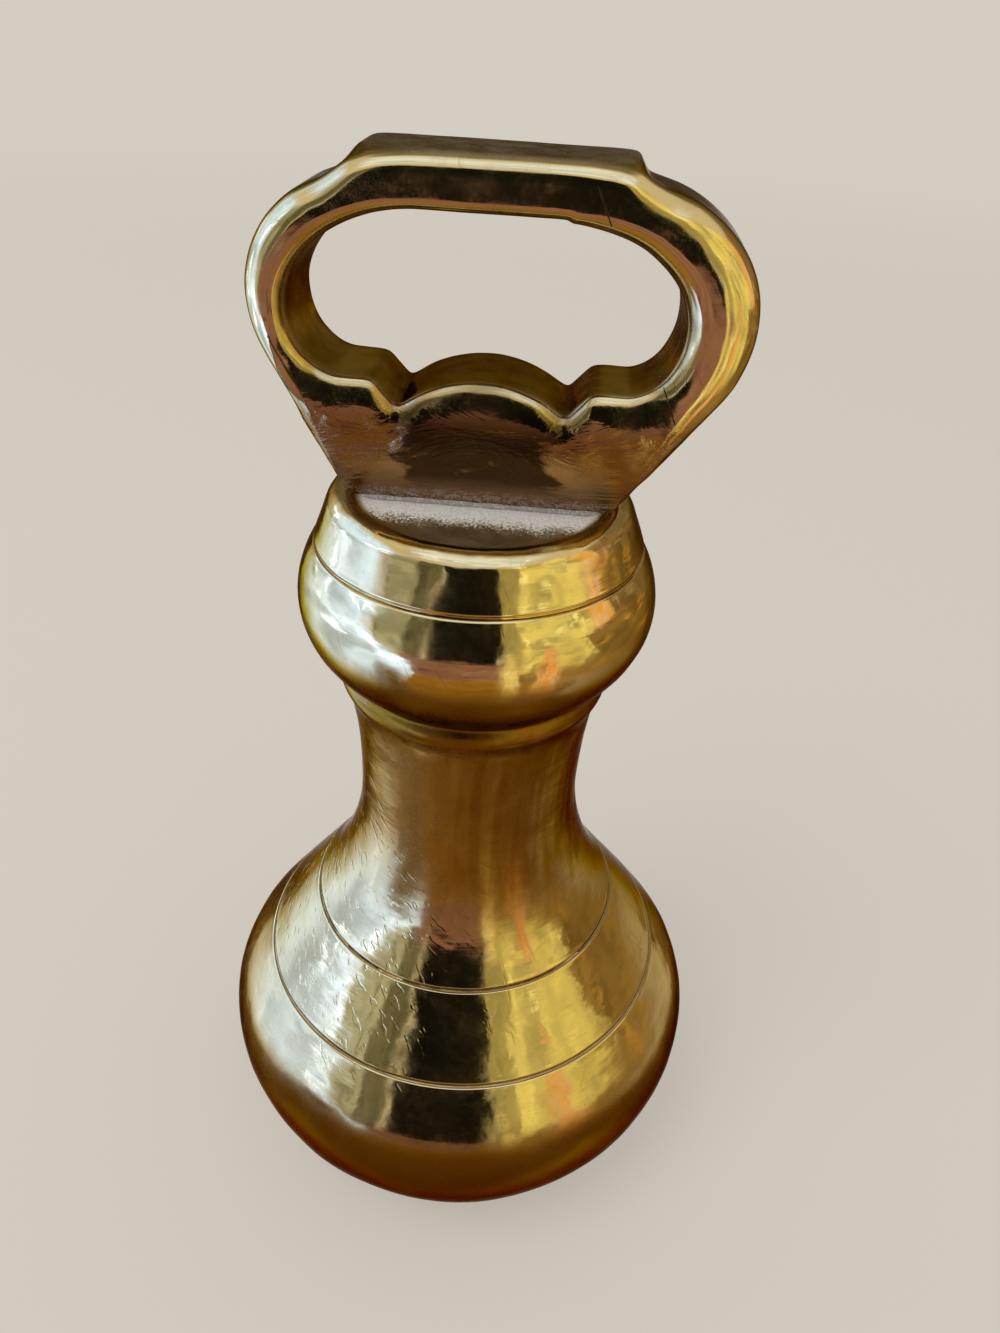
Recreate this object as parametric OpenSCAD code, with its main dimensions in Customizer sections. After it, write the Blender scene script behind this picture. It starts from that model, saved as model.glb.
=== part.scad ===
// Brass bell weight, nominal seven pounds avoirdupois, in millimetres.
// The foot stands on z = 0, the turned axis is Z, and the handle's loop lies in the XZ plane.

/* [Bell] */
// Radius of the bulb at its widest circle
bulb_r = 44.3; // [40:0.1:50]
// Height of the widest circle above the foot
bulb_z = 20; // [17:0.1:22]
// Radius of the bulb's curve below the widest circle
bulb_low_round = 23.2; // [22.5:0.1:30]
// Radius of the bulb's curve above the widest circle
bulb_top_round = 15.2; // [10:0.1:17]
// Radius of the neck at its narrowest
neck_r = 18.5; // [16:0.1:20]
// Rise from the widest circle to the narrowest
neck_rise = 55; // [52:0.1:70]
// Radius of the hollow curve from the neck down to the bulb
flare_round = 45; // [36:0.5:47]
// Radius of the hollow curve from the neck up to the bead
neck_top_round = 110; // [80:1:200]

/* [Head] */
// Rise from the neck's narrowest circle to the middle of the bead
bead_rise = 21.4; // [16:0.1:28]
// Radius of the bead under the head
bead_r = 21.6; // [20.8:0.1:23]
// Radius of the bead's round section
bead_round = 2.4; // [1.8:0.1:3]
// Rise from the middle of the bead to the head's widest circle
head_rise = 14.5; // [13:0.1:16]
// Radius of the head at its widest circle
head_r = 27.2; // [25.5:0.1:30]
// Radius of the head's round section
head_round = 14.4; // [13.5:0.1:16]
// Height of the plain band between the head's line and the seat
band_h = 6.3; // [5:0.1:9]
// Radius that the band stands out past the head's curve at the line
band_step = 0.3; // [0:0.05:0.4]
// Radius that the band loses up to the seat
band_taper = 1.6; // [0.8:0.1:2.4]
// Height of the rounded lip above the seat
lip_h = 0.5; // [0.3:0.1:0.9]
// Radius of the lip's round section
lip_round = 2.4; // [1.8:0.1:2.6]

/* [Turned lines] */
// Rise from the bulb's widest circle to the lower line
low_line_rise = 15.8; // [12:0.1:20]
// Rise from the bulb's widest circle to the upper line
high_line_rise = 28.5; // [24:0.1:30]
// Rise from the head's widest circle to the line round it
head_line_rise = 8.8; // [7.5:0.1:10]
// Radius of each line's round section
line_round = 0.45; // [0.2:0.05:0.8]

/* [Handle] */
// Front to back depth of the handle
handle_depth = 16.5; // [13:0.1:18]
// Front to back depth of the handle's foot, from which its plate spreads to the full depth
foot_depth = 8; // [7.5:0.1:12]
// Distance of the foot's corners from the edge of the seat, along the foot
foot_inset = 0.6; // [0.2:0.05:1.5]
// Height of the limbs' widest place above the opening's
limb_lift = 1.2; // [0:0.1:2]
// Width of the left limb at its widest place
left_limb_w = 5.5; // [5:0.1:9]
// Width of the right limb at its widest place
right_limb_w = 9; // [5:0.1:10]
// Rise of the left shoulder above the opening's top
left_shoulder_h = 3.3; // [2.8:0.1:6]
// Rise of the right shoulder above the opening's top
right_shoulder_h = 4.4; // [2.8:0.1:6]
// Distance from the axis where both shoulders start to bend down
shoulder_x = 16; // [14:0.1:18]
// Thickness of the grip under the raised pad
grip_h = 6.6; // [6:0.1:9]
// Distance of the pad's left end from the axis
left_pad_x = 15.5; // [13:0.1:17]
// Distance of the pad's right end from the axis
right_pad_x = 17.2; // [13:0.1:18]
// Length of the slope at the pad's left end
left_pad_slope = 4; // [2:0.1:5]
// Length of the slope at the pad's right end
right_pad_slope = 2; // [1:0.1:4]
// Rounding of the handle's outer edges
outer_edge = 3.2; // [1:0.1:3.4]
// Rounding of the loop's inner edges
loop_edge = 2.2; // [0.6:0.1:2.4]
// Rounding of the foot's lower edges
foot_edge = 0.3; // [0.1:0.05:0.6]

/* [Finger opening] */
// Height of the opening's widest place above the seat
loop_z = 26.5; // [24:0.1:28]
// Half width of the opening
opening_half_w = 25.2; // [22:0.1:28]
// Height of the opening's top above the seat
opening_top = 38.7; // [35:0.1:42]
// Half length of the level stretch along the opening's top
arch_x = 8; // [4:0.1:12]
// Height of the two ledges at the bottom of the opening
ledge_z = 18.2; // [16:0.1:20]
// Height of the scalloped crest between the ledges
crest_z = 18.6; // [17:0.1:21]
// Height of the two notches beside the crest
notch_z = 14.5; // [13:0.1:16]
// Distance of each notch from the axis
notch_x = 11.1; // [10:0.1:12.5]
// Distance of each ledge's near end from the axis
ledge_near_x = 14.4; // [13:0.1:16]
// Distance of each ledge's far end from the axis
ledge_far_x = 18.4; // [16.5:0.1:20.5]
// Rounding along the ledges and the crest
crest_edge = 1.5; // [0.4:0.1:2]

/* [Handle fixing] */
// Radius of the screwed stud that holds the handle
stud_r = 2.6; // [2:0.05:2.8]
// Depth of the stud in the handle
stud_up = 11; // [8:0.5:13]
// Depth of the stud in the head
stud_down = 22; // [15:0.5:28]
// Radius of the two dowels that stop the handle turning
dowel_r = 1.5; // [1:0.05:1.8]
// Distance of each dowel from the end of the foot
dowel_inset = 5; // [3:0.1:7]
// Depth of a dowel in the handle, and in the head
dowel_deep = 8; // [6:0.5:10]
// Clearance round the stud, the dowels and the foot
fixing_gap = 0.03; // [0.02:0.01:0.1]
// Clear depth past each end of the stud and the dowels
fixing_end = 0.5; // [0.2:0.1:1]
// Radius of the solder's hollow run along the foot
solder_round = 2; // [1:0.1:2.4]
// Thickness of the solder's feathered edges
solder_edge = 0.08; // [0.05:0.01:0.2]

/* [Adjusting cavity] */
// Radius of the shallow hollow turned in the underside
dish_r = 25; // [20:0.5:28]
// Depth of that hollow
dish_h = 1.2; // [0.8:0.1:2]
// Radius of the shot chamber
chamber_r = 9; // [8:0.1:12]
// Empty height above the shot
chamber_room = 2; // [1:0.5:12]
// Width of the shoulder that the closing plug screws up against
plug_shoulder = 1.5; // [0.8:0.1:3]
// Thickness of the closing plug
plug_h = 5; // [4:0.1:8]
// Width of the plug's screwdriver slot
slot_w = 1.6; // [1:0.1:2.4]
// Depth of the plug's screwdriver slot
slot_h = 1.8; // [1:0.1:2.5]
// Width of the shoulder that the lead seal is driven up against
seal_shoulder = 0.7; // [0.4:0.1:2]
// Undercut of the seal's socket on the radius
seal_undercut = 0.6; // [0.3:0.1:1]
// Thickness of the lead seal
seal_h = 2; // [1.5:0.1:3]
// Depth of the seal's face inside the underside
seal_sunk = 0.3; // [0.1:0.1:0.8]
// Radius of one lead shot
shot_r = 1.95; // [1.5:0.05:2.4]
// Layers of shot in the chamber
shot_layers = 5; // [1:1:6]
// Clearance round the plug, the seal and each shot
cavity_gap = 0.03; // [0.02:0.01:0.1]

/* [Hidden] */
$fn = 96;
brass = "#c39a3c";
lead = "#8d9197";
solder = "#d8d2bf";

// Levels up the axis
neck_z = bulb_z + neck_rise;
bead_z = neck_z + bead_rise;
head_z = bead_z + head_rise;
head_line_z = head_z + head_line_rise;
seat_z = head_line_z + band_h;

// Bell outline: the straight shoulder is the line that touches both the bulb's curve and the flare's
bulb_low_c = [bulb_r - bulb_low_round, bulb_z];
bulb_top_c = [bulb_r - bulb_top_round, bulb_z];
flare_c = [neck_r + flare_round, neck_z];
centre_gap = flare_c - bulb_top_c;
shoulder_angle = atan2(centre_gap.y, centre_gap.x)
    - acos((bulb_top_round + flare_round) / norm(centre_gap));
shoulder_dir = [cos(shoulder_angle), sin(shoulder_angle)];
shoulder_low = bulb_top_c + bulb_top_round * shoulder_dir;
shoulder_high = flare_c - flare_round * shoulder_dir;
function shoulder_r(z) = shoulder_low.x - (z - shoulder_low.y) * tan(shoulder_angle);

// Head outline: the lip's curve touches the plain band
head_c = [head_r - head_round, head_z];
bead_c = [bead_r - bead_round, bead_z];
band_low_r = head_c.x + sqrt(head_round * head_round - head_line_rise * head_line_rise) + band_step;
band_out = [band_h, band_taper] / norm([band_h, band_taper]);
lip_c_z = seat_z + lip_h - lip_round;
lip_c = [band_low_r - (lip_round + (lip_c_z - head_line_z) * band_out.y) / band_out.x, lip_c_z];
band_top = lip_c + lip_round * band_out;
seat_r = lip_c.x - sqrt(lip_round * lip_round - pow(lip_round - lip_h, 2));

// Handle outline
foot_half_w = sqrt(seat_r * seat_r - foot_depth * foot_depth / 4) - foot_inset;
foot_lean = atan2((handle_depth - foot_depth) / 2, ledge_z); // of the plate's faces, outwards from the foot
dowel_x = foot_half_w - dowel_inset;
pad_top = opening_top + grip_h;
crest_round = (notch_x * notch_x + pow(crest_z - notch_z, 2)) / (2 * (crest_z - notch_z));
steps = [7, 3, 2, 9, 12, 6]; // stations along the crest, rise, ledge, lower bend, upper bend and pad
edge_steps = 4; // facets round one edge
foot_stations = steps[0] + steps[1] + steps[2];
left_limb = [left_limb_w, left_shoulder_h, left_pad_x, left_pad_slope];
right_limb = [right_limb_w, right_shoulder_h, right_pad_x, right_pad_slope];

// Cavity sizes, and levels from the underside up
plug_r = chamber_r + plug_shoulder;
seal_r = plug_r + seal_shoulder;
seal_z = dish_h + seal_sunk;
plug_z = seal_z + seal_h;
chamber_z = plug_z + plug_h;
shot_pitch = 2 * shot_r + cavity_gap;
layer_rise = shot_pitch * sqrt(2 / 3);
chamber_h = cavity_gap + 2 * shot_r + (shot_layers - 1) * layer_rise + chamber_room;
cut = 1; // how far a cutting shape runs past an open face

function mix(a, b, t) = a + (b - a) * t;
function along(a, b, n) = [for (i = [1:n]) mix(a, b, i / n)];
function bend(c, a, b, from, to, n) =
    [for (i = [1:n]) let (t = mix(from, to, i / n)) c + [a * cos(t), b * sin(t)]];

// Half of the opening's edge, from the crest's top up to the middle of the grip
function inner_half() = concat(
    [for (i = [0:steps[0]]) let (x = notch_x * i / steps[0])
        [x, crest_z - crest_round + sqrt(crest_round * crest_round - x * x)]],
    along([notch_x, notch_z], [ledge_near_x, ledge_z], steps[1]),
    along([ledge_near_x, ledge_z], [ledge_far_x, ledge_z], steps[2]),
    bend([ledge_far_x, loop_z], opening_half_w - ledge_far_x, loop_z - ledge_z, -90, 0, steps[3]),
    bend([arch_x, loop_z], opening_half_w - arch_x, opening_top - loop_z, 0, 68, steps[4]),
    bend([arch_x, loop_z], opening_half_w - arch_x, opening_top - loop_z, 68, 90, steps[5] - 1),
    [[0, opening_top]]);

// Half of the handle's outer edge, station for station with the opening's edge: along the foot,
// straight up to the limb's curve, round it, and up the slope to the pad
function outer_half(limb) =
    let (c = [shoulder_x, loop_z + limb_lift],
         foot = [foot_half_w, 0],
         a = opening_half_w + limb[0] - shoulder_x,
         b = opening_top + limb[1] - c.y,
         to_foot = foot - c,
         touch = atan2(to_foot.y, to_foot.x) + acos(a / norm(to_foot)),
         slope_end = acos((limb[2] + limb[3] - shoulder_x) / a),
         low = c + [a * cos(slope_end), b * sin(slope_end)],
         high = [limb[2], pad_top])
    concat(
        [for (i = [0:steps[0]]) [foot_half_w * 0.62 * i / steps[0], 0]],
        along([foot_half_w * 0.62, 0], [foot_half_w * 0.9, 0], steps[1]),
        along([foot_half_w * 0.9, 0], foot, steps[2]),
        along(foot, c + a * [cos(touch), sin(touch)], steps[3] - 5),
        bend(c, a, a, touch, 0, 5),
        bend(c, a, b, 0, slope_end, steps[4]),
        [for (t = [0.3, 0.7, 1]) [mix(low.x, high.x, t), mix(low.y, high.y, (1 - cos(180 * t)) / 2)]],
        along(high, [0, pad_top], steps[5] - 3));

// Rounding at each station: sharp along the foot and the crest, full round the loop
function outer_round(i) = mix(foot_edge, outer_edge, min(1, max(0, (i - foot_stations) / 3)));
function inner_round(i) = mix(crest_edge, loop_edge, min(1, max(0, (i - foot_stations - 2) / 5)));

// Share of the handle's full depth at a height above the seat
function depth_share(h) = mix(foot_depth / handle_depth, 1, min(1, max(0, h / ledge_z)));

// One rounded section between an outer point p and an inner point q, as points of [x, y, z]
function quarter(n, from, to) = [for (k = [0:n]) let (t = mix(from, to, k / n)) [sin(t), cos(t)]];
function section(p, q, r_in, r_out) =
    let (d = norm(p - q),
         e = (p - q) / d,
         half = handle_depth / 2)
    [for (c = concat(
        [for (a = quarter(edge_steps, 0, 90)) [d - r_out + r_out * a.x, r_out - half - r_out * a.y]],
        [for (a = quarter(edge_steps, 90, 0)) [d - r_out + r_out * a.x, half - r_out + r_out * a.y]],
        [for (a = quarter(edge_steps, 0, 90)) [r_in - r_in * a.x, half - r_in + r_in * a.y]],
        [for (a = quarter(edge_steps, 90, 0)) [r_in - r_in * a.x, r_in - half - r_in * a.y]]))
        let (h = q.y + e.y * c.x)
        [q.x + e.x * c.x, c.y * depth_share(h), seat_z + h]];

function flip(p) = [-p.x, p.y];

// The whole ring of sections: up the right limb, over the grip and down the left limb
function handle_ring() =
    let (inner = inner_half(),
         right = outer_half(right_limb),
         left = outer_half(left_limb),
         last = len(inner) - 1)
    concat(
        [for (i = [0:last]) section(right[i], inner[i], inner_round(i), outer_round(i))],
        [for (i = [last - 1:-1:1]) section(flip(left[i]), flip(inner[i]), inner_round(i), outer_round(i))]);

module disc_at(c, r) {
    translate(c) circle(r);
}

// Half section of the bell, neck, bead and head
module bell_outline() {
    // bulb below its widest circle
    square([bulb_low_c.x, bulb_z]);
    intersection() {
        disc_at(bulb_low_c, bulb_low_round);
        square([bulb_r + cut, bulb_z]);
    }
    // bulb above it, and the straight shoulder
    intersection() {
        disc_at(bulb_top_c, bulb_top_round);
        translate([0, bulb_z]) square([bulb_r + cut, bulb_top_round]);
    }
    polygon([[0, bulb_z], bulb_top_c, shoulder_low, shoulder_high, [0, shoulder_high.y]]);
    // flare and neck
    difference() {
        polygon([[0, shoulder_high.y], shoulder_high, flare_c, [0, neck_z]]);
        disc_at(flare_c, flare_round);
    }
    difference() {
        translate([0, neck_z]) square([bead_r, bead_z - neck_z]);
        disc_at([neck_r + neck_top_round, neck_z], neck_top_round);
    }
    // bead and head
    disc_at(bead_c, bead_round);
    translate([0, bead_z]) square([bead_c.x, head_z - bead_z]);
    translate([0, head_z]) square([head_c.x, head_line_z - head_z]);
    intersection() {
        disc_at(head_c, head_round);
        translate([0, bead_z]) square([head_r + cut, head_line_z - bead_z]);
    }
    // plain band, lip and seat
    polygon([[0, head_line_z], [band_low_r, head_line_z], band_top, [0, band_top.y]]);
    translate([0, band_top.y]) square([lip_c.x, seat_z - band_top.y]);
    disc_at(lip_c, lip_round);
}

function line_on_shoulder(rise) = [shoulder_r(bulb_z + rise), bulb_z + rise];

module turned_lines() {
    for (p = [line_on_shoulder(low_line_rise), line_on_shoulder(high_line_rise),
              [band_low_r, head_line_z]])
        disc_at(p, line_round);
}

module seal_shape(extra) {
    cylinder(h = seal_h, r1 = seal_r + extra, r2 = seal_r + seal_undercut + extra);
}

module rod(r, from, to) {
    translate([0, 0, from]) cylinder(h = to - from, r = r);
}

// A rod with both ends chamfered
module pin(r, from, to) {
    c = r * 0.2;
    rod(r, from + c, to - c);
    translate([0, 0, from]) cylinder(h = c, r1 = r - c, r2 = r);
    translate([0, 0, to - c]) cylinder(h = c, r1 = r, r2 = r - c);
}

module fixing_holes() {
    rod(stud_r + fixing_gap, seat_z - stud_down - fixing_end, seat_z + stud_up + fixing_end);
    for (side = [-1, 1])
        translate([side * dowel_x, 0, 0])
            rod(dowel_r + fixing_gap, seat_z - dowel_deep - fixing_end, seat_z + dowel_deep + fixing_end);
}

module bell_body() {
    color(brass)
    difference() {
        rotate_extrude() difference() {
            bell_outline();
            turned_lines();
        }
        // hollow underside, seal socket, plug bore and shot chamber
        rod(dish_r, -cut, dish_h);
        rod(seal_r + cavity_gap, 0, seal_z);
        translate([0, 0, seal_z]) seal_shape(cavity_gap);
        rod(plug_r + cavity_gap, plug_z - cut, chamber_z);
        rod(chamber_r, chamber_z - cut, chamber_z + chamber_h);
        fixing_holes();
    }
}

module handle() {
    ring = handle_ring();
    n = len(ring);
    m = len(ring[0]);
    color(brass)
    difference() {
        polyhedron(
            points = [for (s = ring) for (p = s) p],
            faces = [for (i = [0:n - 1]) for (j = [0:m - 1])
                let (k = (i + 1) % n, l = (j + 1) % m)
                each [[i * m + j, k * m + j, k * m + l], [i * m + j, k * m + l, i * m + l]]],
            convexity = 6);
        fixing_holes();
    }
}

module handle_stud() {
    color(brass) pin(stud_r, seat_z - stud_down, seat_z + stud_up);
}

module dowel(side) {
    color(brass) translate([side * dowel_x, 0, 0]) pin(dowel_r, seat_z - dowel_deep, seat_z + dowel_deep);
}

module left_dowel() {
    dowel(-1);
}

module right_dowel() {
    dowel(1);
}

// Hollow run of solder in the corner between the handle's face and the seat
module solder_run() {
    reach = solder_round / tan((90 - foot_lean) / 2); // along the seat, and up the face
    intersection() {
        translate([-foot_half_w, -foot_depth / 2, seat_z])
            rotate([90, 0, 90])
            linear_extrude(2 * foot_half_w)
            difference() {
                polygon([[0, 0], reach * [-sin(foot_lean), cos(foot_lean)], [-reach, solder_round], [-reach, 0]]);
                disc_at([-reach, solder_round], solder_round - solder_edge);
            }
        rod(seat_r - fixing_gap, seat_z - cut, seat_z + reach + cut);
    }
}

module front_solder() {
    color(solder) solder_run();
}

module rear_solder() {
    color(solder) rotate([0, 0, 180]) solder_run();
}

module adjusting_shot() {
    reach = ceil(chamber_r / shot_pitch) + 1;
    color(lead)
    for (layer = [0:shot_layers - 1], i = [-reach:reach], j = [-reach:reach]) {
        shift = layer % 2 == 0 ? [0, 0] : shot_pitch * [0.5, sqrt(3) / 6];
        p = shot_pitch * [i + j / 2, j * sqrt(3) / 2] + shift;
        if (norm(p) + shot_r + cavity_gap <= chamber_r)
            translate([p.x, p.y, chamber_z + cavity_gap + shot_r + layer * layer_rise]) sphere(shot_r);
    }
}

module closing_plug() {
    color(brass)
    difference() {
        rod(plug_r, plug_z, chamber_z);
        translate([-plug_r - cut, -slot_w / 2, plug_z - cut])
            cube([2 * (plug_r + cut), slot_w, slot_h + cut]);
    }
}

module lead_seal() {
    color(lead) translate([0, 0, seal_z]) seal_shape(0);
}

bell_body();
handle();
handle_stud();
left_dowel();
right_dowel();
front_solder();
rear_solder();
adjusting_shot();
closing_plug();
lead_seal();
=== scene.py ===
import random
from math import acos, asin, atan2, ceil, cos, degrees, dist, hypot, pi, prod, radians, sin, sqrt, tan
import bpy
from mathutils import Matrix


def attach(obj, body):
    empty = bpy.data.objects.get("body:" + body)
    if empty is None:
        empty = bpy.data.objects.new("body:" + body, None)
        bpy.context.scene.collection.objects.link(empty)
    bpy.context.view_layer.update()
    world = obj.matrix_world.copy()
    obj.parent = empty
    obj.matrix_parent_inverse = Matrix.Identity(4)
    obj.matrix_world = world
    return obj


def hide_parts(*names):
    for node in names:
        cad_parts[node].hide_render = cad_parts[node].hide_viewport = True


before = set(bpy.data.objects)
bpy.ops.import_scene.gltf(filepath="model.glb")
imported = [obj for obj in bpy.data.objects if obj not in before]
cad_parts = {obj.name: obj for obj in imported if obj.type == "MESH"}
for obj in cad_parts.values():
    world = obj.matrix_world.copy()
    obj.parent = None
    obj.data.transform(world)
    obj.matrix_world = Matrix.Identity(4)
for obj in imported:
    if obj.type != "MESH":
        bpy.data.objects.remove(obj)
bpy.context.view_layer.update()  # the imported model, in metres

from types import SimpleNamespace

import bmesh
import bpy
import numpy as np
from mathutils import Matrix, Vector

mm = 0.001
mergeGap = 0.002 * mm  # vertices closer than this become one
scene = bpy.context.scene
scene.view_settings.view_transform = "Standard"
print("frame loaded,", len(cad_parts), "nodes")


def named(sizes):  # a dictionary's values by name
    return SimpleNamespace(**sizes)


def addObject(data, place):
    item = bpy.data.objects.new(data.name, data)
    scene.collection.objects.link(item)
    item.matrix_world = place
    return item


# Camera

cameraSet = {
    "place": (0.010861, -0.133558, 0.187433),
    "yaw": -2.853, "pitch": 34.354, "roll": 3.365,  # degrees, pitch is downwards
    "lens": 27.0065, "sensor": 36, "clip": (0.005, 200),
}


def makeCamera():
    c = named(cameraSet)
    turn = Matrix.Rotation(-radians(c.yaw), 4, "Z") @ Matrix.Rotation(pi / 2 - radians(c.pitch), 4, "X")
    data = bpy.data.cameras.new("mainCamera")
    data.lens, data.sensor_width = c.lens, c.sensor
    data.clip_start, data.clip_end = c.clip
    turn @= Matrix.Rotation(radians(c.roll), 4, "Z")
    scene.camera = addObject(data, Matrix.Translation(c.place) @ turn)


makeCamera()
print("camera set")

# Modelling helpers


def freshStart():
    if bpy.context.mode != "OBJECT":
        bpy.ops.object.mode_set(mode="OBJECT")
    bpy.ops.object.select_all(action="DESELECT")


def pickOnly(piece):
    freshStart()
    piece.select_set(True)
    bpy.context.view_layer.objects.active = piece


def drawLine(name, points):
    freshStart()
    bpy.ops.mesh.primitive_plane_add(size=mm)
    piece = bpy.context.object
    piece.name = piece.data.name = name
    bpy.ops.object.mode_set(mode="EDIT")
    bpy.ops.mesh.select_all(action="SELECT")
    bpy.ops.mesh.merge(type="CENTER")  # the line grows from the vertex left
    bpy.ops.transform.translate(value=points[0])
    for a, b in zip(points, points[1:]):
        bpy.ops.mesh.extrude_vertices_move(TRANSFORM_OT_translate={"value": b - a})
    return piece


def spinProfile(name, profile, steps):
    piece = drawLine(name, [Vector((r, 0, z)) * mm for r, z in profile])
    bpy.ops.mesh.select_all(action="SELECT")
    bpy.ops.mesh.spin(steps=steps, angle=2 * pi, center=(0, 0, 0), axis=(0, 0, 1))
    closeShell()
    return piece


def closeShell():
    bpy.ops.mesh.select_all(action="SELECT")
    bpy.ops.mesh.remove_doubles(threshold=mergeGap)
    bpy.ops.mesh.normals_make_consistent(inside=False)
    bpy.ops.object.mode_set(mode="OBJECT")


def extrudeSections(name, sections, closed):
    piece = drawLine(name, sections[0])
    bpy.ops.mesh.select_all(action="DESELECT")
    shape = bmesh.from_edit_mesh(piece.data)
    tag = shape.verts.layers.int.new("place")
    last = len(sections[0]) - 1
    for vertex in shape.verts:
        vertex[tag] = min(range(last + 1), key=lambda i: (sections[0][i] - vertex.co).length)
        vertex.select = vertex[tag] in (0, last)
    bmesh.update_edit_mesh(piece.data)
    bpy.ops.mesh.edge_face_add()  # joins the line's two ends
    bpy.ops.mesh.select_all(action="SELECT")
    if not closed:
        bpy.ops.mesh.edge_face_add()
    for section in sections[1:] + ([sections[0]] if closed else []):
        bpy.ops.mesh.extrude_region_move(TRANSFORM_OT_translate={"value": (0, 0, 0)})
        shape = bmesh.from_edit_mesh(piece.data)
        tag = shape.verts.layers.int["place"]
        for vertex in shape.verts:
            if vertex.select:
                vertex.co = section[vertex[tag]]
        bmesh.update_edit_mesh(piece.data)
    closeShell()
    piece.data.attributes.remove(piece.data.attributes["place"])
    return piece


def addModifier(piece, kind, **sets):
    modifier = piece.modifiers.new(kind.title(), kind)
    for key, value in sets.items():
        setattr(modifier, key, value)
    pickOnly(piece)
    bpy.ops.object.modifier_apply(modifier=modifier.name)


# Limits run from where the weight is none to where it is full
def weightBy(piece, name, heights, radii=()):
    group = piece.vertex_groups.new(name=name)
    for vertex in piece.data.vertices:
        x, y, z = vertex.co / mm
        weight = prod(rise(z, *pair) for pair in heights) * prod(rise(hypot(x, y), *pair) for pair in radii)
        if weight > 0:
            group.add([vertex.index], min(weight, 1), "REPLACE")
    return name


# Waves are pairs of size and depth
def waveSurface(piece, group, waves, kind="CLOUDS"):
    for size, depth in waves:
        texture = bpy.data.textures.new(piece.name + kind.title(), kind)
        texture.noise_scale = size * mm
        addModifier(piece, "DISPLACE", texture=texture, texture_coords="LOCAL", direction="NORMAL",
                    strength=depth * mm, mid_level=0.5, vertex_group=group)
        bpy.data.textures.remove(texture)


def rise(value, low, high, start=0, end=1):
    t = min(max((value - low) / (high - low), 0), 1)
    return start + (end - start) * t * t * (3 - 2 * t)


def readArray(items, key, width, kind=float):
    values = np.zeros(len(items) * width, kind)
    items.foreach_get(key, values)
    return values.reshape(-1, width)


# Attributes for the materials: how hollow and how proud each vertex lies
def markHollows(piece, reach, passes):
    mesh = piece.data
    count = len(mesh.vertices)
    place, normal = readArray(mesh.vertices, "co", 3) / mm, readArray(mesh.vertices, "normal", 3)
    a, b = readArray(mesh.edges, "vertices", 2, int).T
    step = place[b] - place[a]
    span = (step * step).sum(1) + 1e-9
    links = np.bincount(a, minlength=count) + np.bincount(b, minlength=count)
    bend = np.bincount(a, (step * normal[a]).sum(1) / span, count)
    bend -= np.bincount(b, (step * normal[b]).sum(1) / span, count)
    bend /= links
    for _ in range(passes):
        near = np.bincount(a, bend[b], count) + np.bincount(b, bend[a], count)
        bend = 0.5 * bend + 0.5 * near / links
    for name, value in (("hollow", bend), ("ridge", -bend)):
        layer = mesh.attributes.new(name, "FLOAT", "POINT")
        layer.data.foreach_set("value", np.clip(value * reach, 0, 1).astype(np.float32))


def smoothPiece(piece, angle, reach, passes=2):
    pickOnly(piece)
    bpy.ops.object.shade_smooth_by_angle(angle=radians(angle))
    markHollows(piece, reach, passes)


# The stud and the dowels stay as they are in the frame; their holes are drilled here
fixing = {"studR": 2.63, "studUp": 11.5, "dowelR": 1.53, "dowelX": 13.42, "dowelDeep": 8.5, "past": 1,
          "sides": 64}
fit = named(fixing)


def drill(piece, x, radius, low, high):
    freshStart()
    middle = Vector((x, 0, (low + high) / 2)) * mm
    bpy.ops.mesh.primitive_cylinder_add(
        vertices=fit.sides, radius=radius * mm, depth=(high - low) * mm, location=middle)
    cutter = bpy.context.object
    addModifier(piece, "BOOLEAN", object=cutter, operation="DIFFERENCE", solver="EXACT")
    bpy.data.objects.remove(cutter)


def drillDowels(piece, low, high):
    for side in (-1, 1):
        drill(piece, side * fit.dowelX, fit.dowelR, low, high)


# Bell, neck and head, turned in one piece

bell = {
    "bulbR": 44.3, "bulbZ": 20, "bulbLowRound": 23.2, "bulbTopRound": 15.2,
    "neckR": 18.5, "neckZ": 75, "flareRound": 45, "neckTopRound": 110,
    "beadR": 21.6, "beadZ": 96.4, "beadRound": 2.4,
    "headR": 27.2, "headZ": 110.9, "headRound": 14.4,
    "bandZ": 119.7, "bandStep": 0.3, "bandTaper": 2.5,
    "seatZ": 126, "lipH": 1.2, "lipRound": 3.2, "lipInner": 1.3,
    "lineZ": (35.8, 48.5), "lineHalf": 0.43, "lineDepth": 0.4, "lineBurr": 0.015, "bandTilt": (0.9, 0.44),
    "dishR": 25, "dishH": 1.2, "footRound": 0.6, "ringRound": 0.4,
    "studEnd": 103.5,
    "sealR": 11.23, "sealUndercut": 0.6, "sealZ": 1.5, "plugR": 10.53, "plugZ": 3.5,
    "chamberR": 9, "chamberZ": 8.5, "chamberTop": 27.2,
    "spinSteps": 288, "smooth": (48, 0.55, 1),
    # gaps between the outline's points
    "pointGap": 0.95, "fineGap": 0.11, "stepGap": 0.13, "beadGap": 0.4, "bandGap": 0.7, "lipGap": 0.3,
    "seatGap": 0.9, "dishGap": 1.2, "footGap": 0.2,
    "waves": ((12.7, 0.32), (4.7, 0.085)), "lipWaves": ((5, 0.22),),
    # no waves at the foot, the seat and inside
    "freeZ": ((1, 6), (125.8, 124.6)), "freeR": ((15, 17),),
    "lipFreeZ": ((122.5, 124.5),), "lipFreeR": ((18, 20),),
}


def arcPoints(centre, radius, start, end, gap):
    count = max(3, ceil(radius * abs(radians(end - start)) / gap))
    turns = [radians(start + (end - start) * i / count) for i in range(count + 1)]
    return [(centre[0] + radius * cos(t), centre[1] + radius * sin(t)) for t in turns]


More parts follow.
